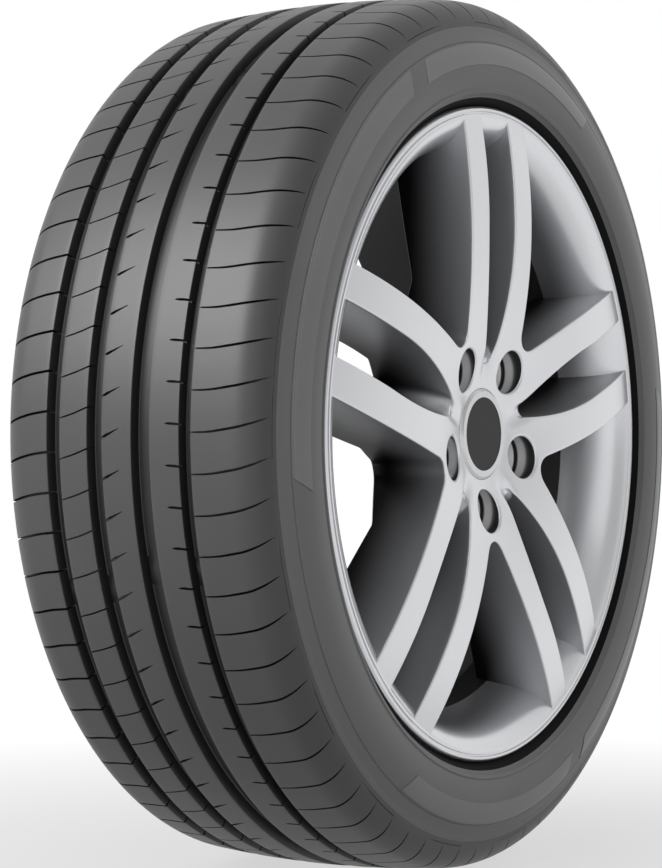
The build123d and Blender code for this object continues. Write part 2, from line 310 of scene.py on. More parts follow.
def add(tree, kind, inputs=None, **settings):
    """Adds a node, with its settings, and its inputs set or linked."""
    node = tree.nodes.new(kind)
    for name, value in settings.items():
        setattr(node, name, value)
    for name, value in (inputs or {}).items():
        if isinstance(value, bpy.types.NodeSocket):
            tree.links.new(value, node.inputs[name])
        else:
            node.inputs[name].default_value = value
    return node


def material(name):
    """A new node material, emptied, with its tree and the place on the object."""
    made = bpy.data.materials.new(name)
    made.use_nodes = True
    tree = made.node_tree
    tree.nodes.clear()
    return made, tree, add(tree, "ShaderNodeTexCoord").outputs["Object"]


def grain_scale(millimetres):
    """Noise scale whose grains are about that many millimetres across."""
    return 1.0 / (millimetres * MM)


def rgba(value):
    """A colour property with full alpha."""
    return (*value, 1.0)


def shade(value, factor):
    """A colour property made lighter or darker."""
    return (*[min(channel * factor, 1.0) for channel in value], 1.0)


def mottled(tree, place, base, spot, dark, light, detail=3.0):
    """Colour that wanders from a darker to a lighter shade, in spots of about that many millimetres."""
    noise = add(tree, "ShaderNodeTexNoise", {"Vector": place, "Scale": grain_scale(spot), "Detail": detail})
    shades = {"Factor": noise.outputs["Fac"], "A": shade(base, dark), "B": shade(base, light)}
    return add(tree, "ShaderNodeMix", shades, data_type="RGBA").outputs["Result"]


def grained(tree, place, grain, strength, depth):
    """Normal of a fine grain, its width and depth in millimetres."""
    noise = add(tree, "ShaderNodeTexNoise", {"Vector": place, "Scale": grain_scale(grain), "Detail": 2.0})
    relief = {"Height": noise.outputs["Fac"], "Strength": strength, "Distance": depth * MM}
    return add(tree, "ShaderNodeBump", relief).outputs["Normal"]


def ringed(tree, distance, spacing, depth):
    """Normal of the rings that a cutter leaves, their spacing and depth in millimetres."""
    turns = add(tree, "ShaderNodeMath", {0: distance, 1: 2 * pi / (spacing * MM)}, operation="MULTIPLY")
    rings = add(tree, "ShaderNodeMath", {0: turns.outputs["Value"]}, operation="SINE")
    relief = {"Height": rings.outputs["Value"], "Strength": 0.1, "Distance": depth * MM}
    return add(tree, "ShaderNodeBump", relief).outputs["Normal"]


def tread_rubber(name, base):
    """Cured tread rubber from a steel mould: matt grey-black with a faint bloom and a fine grain."""
    made, tree, place = material(name)
    shader = add(
        tree, "ShaderNodeBsdfPrincipled",
        {
            "Base Color": mottled(tree, place, base, spot=60.0, dark=0.88, light=1.1),
            "Roughness": 0.45,
            "Normal": grained(tree, place, grain=0.8, strength=0.12, depth=0.2),
        },
    )
    add(tree, "ShaderNodeOutputMaterial", {"Surface": shader.outputs["BSDF"]})
    return made


def sidewall_rubber(name, base, roughness, specular=0.5):
    """Sidewall rubber from a turned mould: smoother than the tread, with faint rings left by the cutter."""
    made, tree, place = material(name)
    flat = add(tree, "ShaderNodeVectorMath", {0: place, 1: (1.0, 0.0, 1.0)}, operation="MULTIPLY")
    radius = add(tree, "ShaderNodeVectorMath", {0: flat.outputs["Vector"]}, operation="LENGTH")
    shader = add(
        tree, "ShaderNodeBsdfPrincipled",
        {
            "Base Color": mottled(tree, place, base, spot=80.0, dark=0.9, light=1.1),
            "Roughness": roughness,
            "Specular IOR Level": specular,
            "Normal": ringed(tree, radius.outputs["Value"], RING_SPACING, depth=0.1),
        },
    )
    add(tree, "ShaderNodeOutputMaterial", {"Surface": shader.outputs["BSDF"]})
    return made


def shaded_dark_coat(name, base):
    """Cast aluminium under a near-black coat, partly painted shade deep inside the barrel: an even dull skin
    with the sand-fine grain of the casting.
    """
    made, tree, place = material(name)
    shader = add(
        tree, "ShaderNodeBsdfPrincipled",
        {
            "Base Color": rgba(base),
            "Metallic": 0.4,
            "Roughness": 0.6,
            "Normal": grained(tree, place, grain=1.2, strength=0.1, depth=0.1),
        },
    )
    add(tree, "ShaderNodeOutputMaterial", {"Surface": shader.outputs["BSDF"]})
    return made


def flank_with_painted_shade(name, base, primer_and_shade):
    """Cast aluminium flank: grey silver beside the face, darkening deeper into the wheel to the near-black
    coat, as painted shade.
    """
    made, tree, place = material(name)
    along = add(tree, "ShaderNodeSeparateXYZ", {"Vector": place}).outputs["Y"]
    # Painted shade: the flank darkens along the axis, deeper into the wheel.
    depth = add(
        tree, "ShaderNodeMapRange",
        {"Value": along, "From Min": FLANK_SHADE_START * MM, "From Max": FLANK_SHADE_FULL * MM},
        interpolation_type="SMOOTHSTEP",
    )
    tones = {"Factor": depth.outputs["Result"], "A": rgba(base), "B": rgba(primer_and_shade)}
    tone = add(tree, "ShaderNodeMix", tones, data_type="RGBA")
    shader = add(
        tree, "ShaderNodeBsdfPrincipled",
        {"Base Color": tone.outputs["Result"], "Metallic": 0.7, "Roughness": 0.4},
    )
    add(tree, "ShaderNodeOutputMaterial", {"Surface": shader.outputs["BSDF"]})
    return made


def bored_alloy(name, base, primer_and_shade):
    """Cast aluminium bored with a cutter: bright bare metal, with dark bands of painted shade at the mouth
    and in the corner above the ledge.
    """
    made, tree, place = material(name)
    along = add(tree, "ShaderNodeSeparateXYZ", {"Vector": place}).outputs["Y"]
    # Painted shade: dark bands at the pocket's mouth and in the corner above its ledge.
    start, end = POCKET_SHADE_SHARES[0][0] * MM, POCKET_SHADE_SHARES[-1][0] * MM
    depth = add(tree, "ShaderNodeMapRange", {"Value": along, "From Min": start, "From Max": end})
    shade_in_pocket = add(tree, "ShaderNodeFloatCurve", {"Value": depth.outputs["Result"]})
    curve = shade_in_pocket.mapping.curves[0]
    for y, share in POCKET_SHADE_SHARES[1:-1]:
        curve.points.new((y * MM - start) / (end - start), share)
    for point, (_, share) in zip((curve.points[0], curve.points[-1]), (POCKET_SHADE_SHARES[0], POCKET_SHADE_SHARES[-1])):
        point.location.y = share
    shade_in_pocket.mapping.update()
    tones = {"Factor": shade_in_pocket.outputs["Value"], "A": rgba(base), "B": rgba(primer_and_shade)}
    tone = add(tree, "ShaderNodeMix", tones, data_type="RGBA")
    shader = add(
        tree, "ShaderNodeBsdfPrincipled",
        {
            "Base Color": tone.outputs["Result"],
            "Metallic": 1.0,
            "Roughness": 0.6,
            "Normal": ringed(tree, along, BORE_FEED, depth=0.05),
        },
    )
    add(tree, "ShaderNodeOutputMaterial", {"Surface": shader.outputs["BSDF"]})
    return made


def silver_lacquer(name, base, roughness):
    """Silver metallic lacquer on a casting or a moulding: fine flakes in a smooth clear coat."""
    made, tree, place = material(name)
    shader = add(
        tree, "ShaderNodeBsdfPrincipled",
        {
            "Base Color": mottled(tree, place, base, FLAKE, dark=0.93, light=1.06, detail=1.0),
            "Metallic": 0.85,
            "Roughness": roughness,
            "Coat Weight": 0.4,
            "Coat Roughness": 0.08,
        },
    )
    add(tree, "ShaderNodeOutputMaterial", {"Surface": shader.outputs["BSDF"]})
    return made


def smooth_moulding(name, base, roughness, grain, specular=0.5):
    """Plastic or rubber from a polished mould: an even colour with the mould's faint texture."""
    made, tree, place = material(name)
    shader = add(
        tree, "ShaderNodeBsdfPrincipled",
        {
            "Base Color": rgba(base),
            "Roughness": roughness,
            "Specular IOR Level": specular,
            "Normal": grained(tree, place, grain, strength=0.08, depth=0.1),
        },
    )
    add(tree, "ShaderNodeOutputMaterial", {"Surface": shader.outputs["BSDF"]})
    return made


def turned_brass(name, base):
    """Brass bar turned on a lathe: warm metal, dulled in spots of about 2 mm."""
    made, tree, place = material(name)
    dull = add(tree, "ShaderNodeTexNoise", {"Vector": place, "Scale": grain_scale(2.0), "Detail": 3.0})
    rough = add(tree, "ShaderNodeMapRange", {"Value": dull.outputs["Fac"], "To Min": 0.25, "To Max": 0.45})
    shader = add(
        tree, "ShaderNodeBsdfPrincipled",
        {"Base Color": rgba(base), "Metallic": 1.0, "Roughness": rough.outputs["Result"]},
    )
    add(tree, "ShaderNodeOutputMaterial", {"Surface": shader.outputs["BSDF"]})
    return made


# Tyre

CROWN_HALF = 82.0
CROWN_DROP = 4.2
CROWN_LAND = 3.0  # from the crown's edge to the first station of the outer ribs
GROOVE_LAND = 0.5  # from a groove's edge to the last station of its rib
RIB_STEP = 3.6  # longest step between two stations of a rib
BUTTRESS = (104.0, 290.35)  # place across, radius
LEDGE = (108.0, 281.0)
SIDEWALL_CURVE = [(281.0, 108.0), (262.0, 112.4), (244.5, 109.5)]  # radius, place across
RIDGE_R = 290.2
SHOULDER_FOOT_R = 292.2
BUTTRESS_BAND = (287.5, 283.0)  # plain, below the ridge
LINE_R = 281.05
PANEL_TOP_R = 279.8
PANEL_FOOT_R = 264.4
PANEL_EDGE = 0.4  # width of a panel's sloping edge
PLAIN_FOOT_R = 250.0  # of the plain band below the panels
PANEL_SIDE = 107.0  # place across past which a point can lie on a panel
LINER_SIDE = 99.0  # and below which it has the same rubber as beside the rim
PROTECTOR_R = 246.2
# Radius below which the sidewall takes the near-black rubber, painted shade in the gap beside the rim.
RIM_SHADE_R = 241.0
# Points of the bead and of the tyre's inside, as place across and radius
BEAD = [(107.0, 241.8), (105.5, 240.3), (99.95, 235.6), (95.15, 230.8), (95.15, 218.4), (75.25, 216.65)]
LINER = [(81.15, 235.6), (103.5, 262.0), (99.0, 281.0), (95.0, 290.35), (84.65, 300.7), (40.0, 300.7)]
TREAD, GROOVE_SHADE, SIDEWALL, PANEL, RIM_SHADE = range(5)  # the rubbers; the groove one and the one beside the rim are darker as painted shade

# Main grooves, inboard edge to outboard edge
GROOVES = [(60.35, 49.15), (26.5, 14.3), (-8.75, -23.05), (-45.2, -54.0)]


class Slot(NamedTuple):
    """The cross slot of one pitch, at a place across the tread."""

    place: float
    centre: float  # round the tread
    half: float  # half width
    depth: float


# The slots of each rib, from the outboard shoulder to the inboard one
SLOT_RUNS = [
    [
        Slot(-102.2, 38.0, 0.3, 0.0),
        Slot(-97.0, 34.9, 0.7, 3.0),
        Slot(-90.7, 32.5, 0.85, 5.0),
        Slot(-76.8, 29.7, 0.85, 5.5),
        Slot(-66.5, 28.35, 0.7, 4.0),
        Slot(-54.0, 28.0, 0.5, 2.5),
    ],
    [
        Slot(-45.2, 33.1, 0.8, 4.0),
        Slot(-39.0, 33.6, 0.9, 4.2),
        Slot(-36.0, 33.7, 0.6, 3.0),
        Slot(-34.9, 33.75, 0.2, 0.0),
        Slot(-23.05, 33.9, 0.2, 0.0),
    ],
    [
        Slot(-8.75, 32.6, 0.2, 0.0),
        Slot(0.7, 30.6, 0.2, 0.0),
        Slot(3.0, 29.5, 0.4, 2.0),
        Slot(7.0, 27.7, 0.7, 3.5),
        Slot(11.0, 25.9, 1.1, 4.0),
        Slot(14.3, 24.3, 0.9, 4.0),
    ],
    [
        Slot(26.5, 17.3, 0.6, 4.0),
        Slot(37.5, 13.5, 0.6, 4.0),
        Slot(49.15, 10.4, 0.5, 2.5),
    ],
    [
        Slot(60.35, 15.0, 0.9, 5.5),
        Slot(74.6, 13.1, 0.9, 5.5),
        Slot(85.5, 10.5, 0.9, 5.5),
        Slot(95.0, 7.7, 0.8, 4.0),
        Slot(102.0, 5.3, 0.6, 1.5),
        Slot(104.0, 4.5, 0.2, 0.0),
    ],
]
FLOW_LINE = 103.0  # place across of the fine lines round the outboard shoulder
FLOW_HALF = 0.45
FLOW_EVERY = 4  # pitches from one line to the next
FLOW_PITCHES = 2  # that one line runs
SLOT_WALL = 0.2  # lean of a slot's walls, as a share of its half width
LAND_ROWS = 3  # of points on the rib from one slot to the next
PANEL_SHIFT = 50.3  # of the panels' ends round the tyre, at their top
PANEL_SLANT = -26.5  # and how much it changes down to the rim protector
PANELS = [(-3, 11), (12, 23), (34, 48), (49, 60)]  # pitches at which a panel starts and ends
WEAR_BAR_START = 9  # pitch of the first wear bar, and pitches from one to the next
WEAR_BAR_EVERY = 12


class Station(NamedTuple):
    """A place along the tyre's section, in millimetres, and the slot that crosses it."""

    y: float
    r: float
    lift: float = 0.0  # out of the section's smooth line
    shift: float = 0.0  # round the tread
    half: float = 1.2  # of the slot, or of the slope at a panel's end
    cut: float = 0.0  # the slot's depth
    on_panel: bool = False
    in_groove: bool = False
    on_line: bool = False
    rubber: int = SIDEWALL


def shoulder_arc():
    """Centre and radius of the arc from the crown's edge to the buttress."""
    start = Vector((CROWN_HALF, crown(CROWN_HALF)))
    inward = Vector((-2 * CROWN_DROP / CROWN_HALF, -1.0)).normalized()
    chord = Vector(BUTTRESS) - start
    radius = chord.length_squared / (2 * chord.dot(inward))
    return start + inward * radius, radius


def crown(y):
    """Radius of the crown at a place across the tread."""
    return TYRE_HIGH.z / MM - CROWN_DROP * (y / CROWN_HALF) ** 2


def slot_at(place):
    """The slot at a place across the tread: in a groove its line runs straight from rib to rib."""
    for run in SLOT_RUNS:
        if run[0].place <= place <= run[-1].place:
            places, centres, halves, depths = zip(*run)
            centre = eased(places, centres, place)
            return Slot(place, centre, np.interp(place, places, halves), np.interp(place, places, depths))
    places, centres, halves, depths = zip(*[slot for run in SLOT_RUNS for slot in (run[0], run[-1])])
    return Slot(place, *[np.interp(place, places, values) for values in (centres, halves, depths)])


def tread_station(y, r, lift=0.0, in_groove=False, on_line=False):
    """A station on the tread, with the slot that crosses it there."""
    slot = slot_at(y)
    return Station(
        y, r, lift, slot.centre, slot.half, slot.depth, in_groove=in_groove, on_line=on_line, rubber=TREAD
    )


def shoulder_stations(side):
    """Stations round a shoulder, from the buttress's ridge up to the crown's edge."""
    centre, radius = shoulder_arc()
    foot = SHOULDER_FOOT_R - centre.y
    start = atan2(foot, sqrt(radius**2 - foot**2))
    end = atan2(crown(CROWN_HALF) - centre.y, CROWN_HALF - centre.x)
    line = acos((FLOW_LINE - centre.x) / radius)
    edges = [line - FLOW_HALF / radius, line + FLOW_HALF / radius]
    turns = sorted(steps(start, end, 12) + [line] + edges)
    return [
        tread_station(
            side * (centre.x + radius * cos(turn)),
            centre.y + radius * sin(turn),
            on_line=side < 0 and turn == line,
        )
        for turn in turns
    ]


def rib_stations(start, end):
    """Stations across a rib, at its slots' places and evenly between them."""
    places = [slot.place for run in SLOT_RUNS for slot in run]
    marks = [start] + [place for place in reversed(places) if end < place < start] + [end]
    ys = [start]
    for first, second in zip(marks, marks[1:]):
        ys += steps(first, second, max(1, ceil((first - second) / RIB_STEP)))[1:]
    return [tread_station(y, crown(y)) for y in ys]


def groove_stations(start, end, depth, wall):
    """Stations down one wall of a main groove, over its floor and up the other wall."""
    lip = [(-0.1, 0.08), (0.2, 0.6)]
    foot = [(wall - 0.1, depth - 0.5), (wall + 0.6, depth)]
    down = [(start - inset, sink) for inset, sink in lip + foot]
    up = [(end + inset, sink) for inset, sink in reversed(lip + foot)]
    line = down + [((start + end) / 2, depth)] + up
    return [tread_station(y, crown(y), -sink, in_groove=sink == depth) for y, sink in line]


def raised(middle, height, half, edge):
    """Radii and reliefs of a band that stands out of a sidewall, or sinks into it."""
    return [
        (middle + half + edge, 0.0),
        (middle + half, height),
        (middle - half, height),
        (middle - half - edge, 0.0),
    ]


def sidewall_y(r):
    """Place across of a sidewall's smooth line, at a radius."""
    if r > BUTTRESS[1]:
        centre, radius = shoulder_arc()
        return centre.x + sqrt(radius**2 - (r - centre.y) ** 2)
    if r > LEDGE[1]:
        share = (BUTTRESS[1] - r) / (BUTTRESS[1] - LEDGE[1])
        return BUTTRESS[0] + share * (LEDGE[0] - BUTTRESS[0])
    return through(SIDEWALL_CURVE, r)


def sidewall_stations(side, size):
    """Stations down a sidewall, from the shoulder's ridge to the bead's toe."""
    reliefs = raised(RIDGE_R, size["ridge_height"], half=0.5, edge=1.2)
    reliefs += [(r, 0.0) for r in steps(*BUTTRESS_BAND, 2)]
    reliefs += raised(LINE_R, -size["panel_height"], half=0.25, edge=0.4)
    reliefs += [(r, 0.0) for r in steps(PANEL_TOP_R - PANEL_EDGE, PANEL_FOOT_R + PANEL_EDGE, 6)]
    reliefs += [(r, 0.0) for r in steps(PANEL_FOOT_R, PLAIN_FOOT_R, 5)]
    reliefs += raised(PROTECTOR_R, size["protector_height"], half=1.2, edge=0.9)
    outline = [(sidewall_y(r), r, lift) for r, lift in reliefs]
    outline += [(y, r, 0.0) for y, r in BEAD + LINER]
    stations = []
    edge_shift = SLOT_RUNS[0][0].centre if side < 0 else SLOT_RUNS[-1][-1].centre
    for y, r, lift in outline:
        shift = edge_shift
        if side < 0:
            turn = [PROTECTOR_R, LINE_R, RIDGE_R]
            shift = np.interp(r, turn, [PANEL_SHIFT + PANEL_SLANT, PANEL_SHIFT, edge_shift])
        on_panel = side < 0 and PANEL_FOOT_R < r < PANEL_TOP_R and y > PANEL_SIDE
        # Below that radius the near-black rubber is painted shade beside the rim; the tyre's inside takes it
        # too.
        rubber = RIM_SHADE if r < RIM_SHADE_R or y < LINER_SIDE else SIDEWALL
        stations.append(Station(side * y, r, lift, shift, on_panel=on_panel, rubber=rubber))
    return stations


def tyre_stations(size):
    """Stations round the whole section, from the inboard bead over the tread and back inside."""
    stations = list(reversed(sidewall_stations(1, size)))
    stations += shoulder_stations(1)
    start = CROWN_HALF - CROWN_LAND
    for inboard, outboard in GROOVES:
        stations += rib_stations(start, inboard + GROOVE_LAND)
        stations += groove_stations(inboard, outboard, size["groove_depth"], size["groove_wall"])
        start = outboard - GROOVE_LAND
    stations += rib_stations(start, CROWN_LAND - CROWN_HALF)
    stations += reversed(shoulder_stations(-1))
    stations += sidewall_stations(-1, size)
    return stations


def panel_rows(pitches, rows):
    """Which rows round the tyre lie on a panel: a panel starts and ends at a slot's steep edge."""
    marked = np.zeros(pitches * rows, bool)
    for start, end in PANELS:
        marked[np.arange(start * rows + 1, end * rows + 1) % len(marked)] = True
    return marked


def line_rows(pitches, rows):
    """Which rows round the tyre lie on a flow line: each starts at a slot."""
    marked = np.zeros(pitches * rows, bool)
    for start in range(0, pitches, FLOW_EVERY):
        marked[np.arange(start * rows + 2, (start + FLOW_PITCHES) * rows) % len(marked)] = True
    return marked


def grid_rubbers(stations, slotted, panels):
    """The rubber of each face of the tyre's grid, from station to station by rows round the wheel."""
    in_slot = slotted | np.roll(slotted, -1)
    on_panel = panels & np.roll(panels, -1)
    rubbers = []
    for here, after in zip(stations, stations[1:] + stations[:1]):
        rubber = max(here.rubber, after.rubber)
        # Faces sinking into a groove, and faces down in a slot, take the darker groove rubber as painted
        # shade.
        sunk_in_shade = rubber == TREAD and max(here.lift, after.lift) < -0.5
        ring = np.full(len(panels), GROOVE_SHADE if sunk_in_shade else rubber)
        if min(here.cut, after.cut) > 0:
            ring[in_slot] = GROOVE_SHADE
        if here.on_panel and after.on_panel:
            ring[on_panel] = PANEL
        rubbers.append(ring)
    return np.concatenate(rubbers)


def tyre_skin(size):
    """The tyre as one grid, stations round its section by rows round the wheel, with its faces' rubbers."""
    stations = tyre_stations(size)
    pitches = size["pitches"]
    pitch = 2 * pi * size["outer_radius"] / pitches
    section = np.array([(s.y, s.r) for s in stations])
    along = np.roll(section, -1, 0) - np.roll(section, 1, 0)
    outward = np.stack([along[:, 1], -along[:, 0]], 1)
    outward /= np.linalg.norm(outward, axis=1)[:, None]
    middle = section[np.argmax(section[:, 1])]
    if outward[np.argmax(section[:, 1])] @ (middle - section.mean(0)) < 0:
        outward = -outward
    pattern = [False, True, True, False] + [False] * LAND_ROWS
    rows = len(pattern)
    slotted = np.tile(pattern, pitches)
    panels = panel_rows(pitches, rows)
    lines = line_rows(pitches, rows)
    bars = np.zeros(pitches * rows, bool)
    for bar in range(WEAR_BAR_START, pitches, WEAR_BAR_EVERY):
        first = (bar + 1) * rows - LAND_ROWS
        bars[[first, first + 1]] = True
    skin = Skin()
    loops = []
    for station, normal in zip(stations, outward):
        lean = station.half * (1 - SLOT_WALL)
        land = steps(station.half, pitch - station.half, LAND_ROWS + 1)[1:-1]
        offsets = np.array([-station.half, -lean, lean, station.half] + land)
        places = np.arange(pitches)[:, None] * pitch + station.shift + offsets
        turns = places.ravel() / size["outer_radius"]
        lift = np.full(turns.shape, station.lift)
        if station.cut > 0:
            lift[slotted] = np.minimum(lift[slotted], -station.cut)
        if station.on_line:
            lift -= lines * size["flow_line"]
        if station.on_panel:
            lift += panels * size["panel_height"]
        if station.in_groove:
            lift += bars * size["wear_bar"]
        y = station.y + normal[0] * lift
        r = station.r + normal[1] * lift
        loops.append(skin.loop(list(zip(-r * np.cos(turns), y, r * np.sin(turns)))))
    for first, second in zip(loops, loops[1:] + loops[:1]):
        skin.wall(first, second)
    return skin, grid_rubbers(stations, slotted, panels)


class WHEEL_OT_tyre(bpy.types.Operator):
    """Moulds the tyre: ribs, grooves, curved slots, ridge, panels, rim protector and beads"""

    bl_idname = "wheel.tyre"
    bl_label = "Tyre"

    def execute(self, context):
        size = in_millimetres(context.scene.tyre_sizes)
        finish = context.scene.wheel_finishes
        skin, rubbers = tyre_skin(size)
        tyre = skin.piece("tyre_moulding")
        finishes = [
            tread_rubber("tread_rubber_moulded", finish.tread),
            # darker rubber, painted shade in the grooves and slots
            tread_rubber("groove_rubber_moulded", finish.groove),
            sidewall_rubber("sidewall_rubber_moulded", finish.sidewall, 0.55),
            sidewall_rubber("panel_rubber_polished_mould", finish.panel, 0.45),
            # near-black with low specular, painted shade beside the rim
            sidewall_rubber("bead_rubber_moulded", finish.bead, 0.8, 0.15),
        ]
        dress(tyre, finishes, rubbers)
        stand_for(tyre, "tyre")
        return {"FINISHED"}


# Alloy wheel

PAIRS = 5
SPOKE_FACE = [(34.0, -94.6), (151.5, -111.7), (231.8, -104.0)]  # radius, place along the axis
SPOKE_BACK_R = [74.0, 120.0, 201.1]
SPOKE_BACK_Y = [-45.0, -62.0, -49.0]
PAIR_EDGE = [(61.0, 40.0), (158.0, 46.0), (235.6, 46.0)]  # along a pair, half its width
PAIR_GAP = [(57.0, 5.5), (104.0, 16.4), (158.0, 20.0)]
GAP_END = 158.0
GAP_TIP = 51.5
GAP_ROUND = 5.5
RAMP_REACH = 33.0  # how far the floor of a pair's gap runs out from the tip, front to back
RAMP_CURVE = 0.55  # below 1 the ramp starts flat and grows steeper
RAMP_START = 0.6  # below the spoke face
VALLEY_START = 36.5  # along a pair, where the hub's face starts to sink towards the gap
VALLEY_END = 80.0  # where the spokes' face is flush again
VALLEY_HALF = 9.5
VALLEY_DEPTH = 3.0
WINDOW_START = 76.0
WINDOW_PULL = (40.5, 67.0)
WINDOW_R = 78.0
FACE_INSET = 0.6  # from a rounded edge to the border of the front face's net
BACK_BREAK = 0.8  # of the spokes' back edges
FLANK_SHARES = [0.03, 0.05, 0.08, 0.12, 0.17, 0.28, 0.4, 0.6, 0.8, 0.985, 1.0]  # of a spoke's depth
SPOKE_END_DEPTH = [0.0, 0.08, 0.17, 0.4, 0.8, 1.0]  # shares of a spoke's depth, and radii where it ends
SPOKE_END_R = [231.8, 226.0, 216.4, 212.0, 206.0, 201.1]
HUB_BACK = -45.0
CAP_SEAT_R = 33.15
CAP_SEAT_Y = -93.2
SEAT_RIM_R = 34.05  # where the hub's face starts
SEAT_BREAK = 0.3
BORE_R = 28.55
BORE_MOUTH_R = 29.55
BOLT_CIRCLE_R = 56.0
BOLT_START = 126.0  # degrees from X, in plan
POCKET_R = 15.5
POCKET_LEDGE = -85.0
POCKET_FLOOR = -58.0
BOLT_BORE_R = 13.0
BOLT_SEAT_R = 12.5
BOLT_HOLE_R = 7.5
CONE_SLOPE = sqrt(3)  # of the 60 degree ledges and seats
# Rounding of a pocket ledge's two edges, as radius and place along the axis from the edge
POCKET_LEDGE_TOP = [(0.0, -0.6), (-0.25, 0.4)]
POCKET_LEDGE_FOOT = [(0.2, -0.4), (0.0, 0.6)]
HOLE_BREAK = 0.6  # of the edges round the bolt holes and hub pockets
HUB_POCKET_START = 90.0  # degrees from X, in plan
HUB_POCKET_R = 11.0
HUB_POCKET_FLOOR = -63.0
HUB_POCKET_ROUND = 2.0
SEAT_SEGMENTS = 72
BOLT_SEGMENTS = 48
HUB_POCKET_SEGMENTS = 40
FRONT_SPACING = 3.0  # of the points on the front face, and on the back
BACK_SPACING = 7.0
NET_MARGIN = 0.6  # from those points to the edges round them, as a share of the spacing
BACK_TIP = 86.5  # along a pair, where those on the back part at the gap
HUB_NET_R = 75.0  # radius up to which they fill the hub
BARREL = [  # place along the axis, radius, rounding
    (-105.0, 230.3, 0.0),
    (-103.8, 230.8, 0.0),
    (-103.8, 231.7, 0.0),
    (-105.0, 232.2, 0.0),
    (-105.0, 234.0, 1.2),
    (-103.4, 235.6, 1.2),
    (-100.05, 235.6, 0.0),
    (-95.25, 230.8, 0.0),
    (-95.25, 218.3, 0.0),
    (-75.25, 216.55, 0.0),
    (-68.0, 216.55, 4.0),
    (-40.0, 201.0, 6.0),
    (-10.0, 201.0, 6.0),
    (18.0, 214.0, 6.0),
    (75.25, 216.55, 0.0),
    (95.25, 218.3, 0.0),
    (95.25, 230.8, 0.0),
    (100.05, 235.6, 0.0),
    (103.4, 235.6, 1.2),
    (105.0, 234.0, 1.2),
    (105.0, 216.0, 4.0),
    (101.0, 208.0, 4.0),
    (18.0, 208.0, 6.0),
    (-10.0, 195.0, 6.0),
    (-40.0, 195.0, 6.0),
]
BOWL_FOOT = (-58.0, 201.2)
BOWL_PULL = (-102.5, 210.0)
LIP_EDGE = (-104.6, 228.0)
LIP_ROUND = (-105.0, 228.5)
LACQUER, SHADED_FLANK, DARK_COAT_AND_SHADE, POCKET = range(4)  # the wheel's finishes
FACE_DEPTH = 1.3  # how far behind the spoke face the lacquer reaches, over the rounded edges
POCKET_REACH = 16.0  # from a bolt's middle, where its bored walls end
INWARD = 0.7  # how far a face has to look at the axis, or along it, to count as doing so
INBOARD = 0.5
OUTBOARD = -0.6
BARREL_SEGMENTS = 240


def in_pair(x, z):
    """A place in plan as lengths along and across the middle line of the nearest pair of spokes."""
    half_turn = pi / PAIRS
    turn = (atan2(x, z) + half_turn) % (2 * half_turn) - half_turn
    r = hypot(x, z)
    return r * cos(turn), abs(r * sin(turn))


def spoke_face(x, z):
    """Place along the axis of the front face, with the shallow valley that leads into a pair's gap."""
    along, across = in_pair(x, z)
    sink = np.interp(along, [VALLEY_START, GAP_TIP, VALLEY_END], [0.0, VALLEY_DEPTH, 0.0])
    side = max(1 - (across / VALLEY_HALF) ** 2, 0.0)
    return through(SPOKE_FACE, max(hypot(x, z), SPOKE_FACE[0][0])) + sink * side**2


def spoke_back(x, z):
    """Place along the axis of the wheel's back face, at a place in plan."""
    return np.interp(hypot(x, z), SPOKE_BACK_R, SPOKE_BACK_Y)


def gap_half(z):
    """Half the gap between a pair's two spokes."""
    return through(PAIR_GAP, min(z, GAP_END))


def pair_half(spread, tip, end_r):
    """Half a pair's outline in plan, from the gap's tip round the spoke to the window's middle."""
    round_end = tip + GAP_ROUND
    gap_x = gap_half(round_end) - spread
    outline = bezier((0.0, tip), (gap_x, tip), (gap_x, round_end), 6)
    inner_x = gap_half(GAP_END) - spread
    for z in steps(round_end, sqrt(end_r**2 - inner_x**2), 30)[1:]:
        outline.append((gap_half(z) - spread, z))
    outer_x = through(PAIR_EDGE, end_r) + spread
    for x in steps(inner_x, outer_x, 6)[1:]:
        outline.append((x, sqrt(end_r**2 - x * x)))
    for z in steps(sqrt(end_r**2 - outer_x**2), WINDOW_START, 30)[1:]:
        outline.append((through(PAIR_EDGE, z) + spread, z))
    half_turn = pi / PAIRS
    middle = ((WINDOW_R + spread) * sin(half_turn), (WINDOW_R + spread) * cos(half_turn))
    pull = (WINDOW_PULL[0] + spread, WINDOW_PULL[1])
    return outline + bezier(outline[-1], pull, middle, 10)[1:]


def round_wheel(outline):
    """A half pair's outline, mirrored and repeated round the wheel."""
    pair = [(-x, z) for x, z in reversed(outline[1:])] + outline[:-1]
    loop = []
    for index in range(PAIRS):
        turn = -2 * pi * index / PAIRS
        loop += [(x * cos(turn) - z * sin(turn), x * sin(turn) + z * cos(turn)) for x, z in pair]
    return loop


def circle(centre, radius, count):
    """Points round a circle in plan."""
    turns = [2 * pi * step / count for step in range(count)]
    return [(centre[0] + radius * cos(turn), centre[1] + radius * sin(turn)) for turn in turns]


def placed(outline, height):
    """Points of a plan outline, at a height or on a surface."""
    surface = height if callable(height) else lambda x, z: height
    return [(x, surface(x, z), z) for x, z in outline]


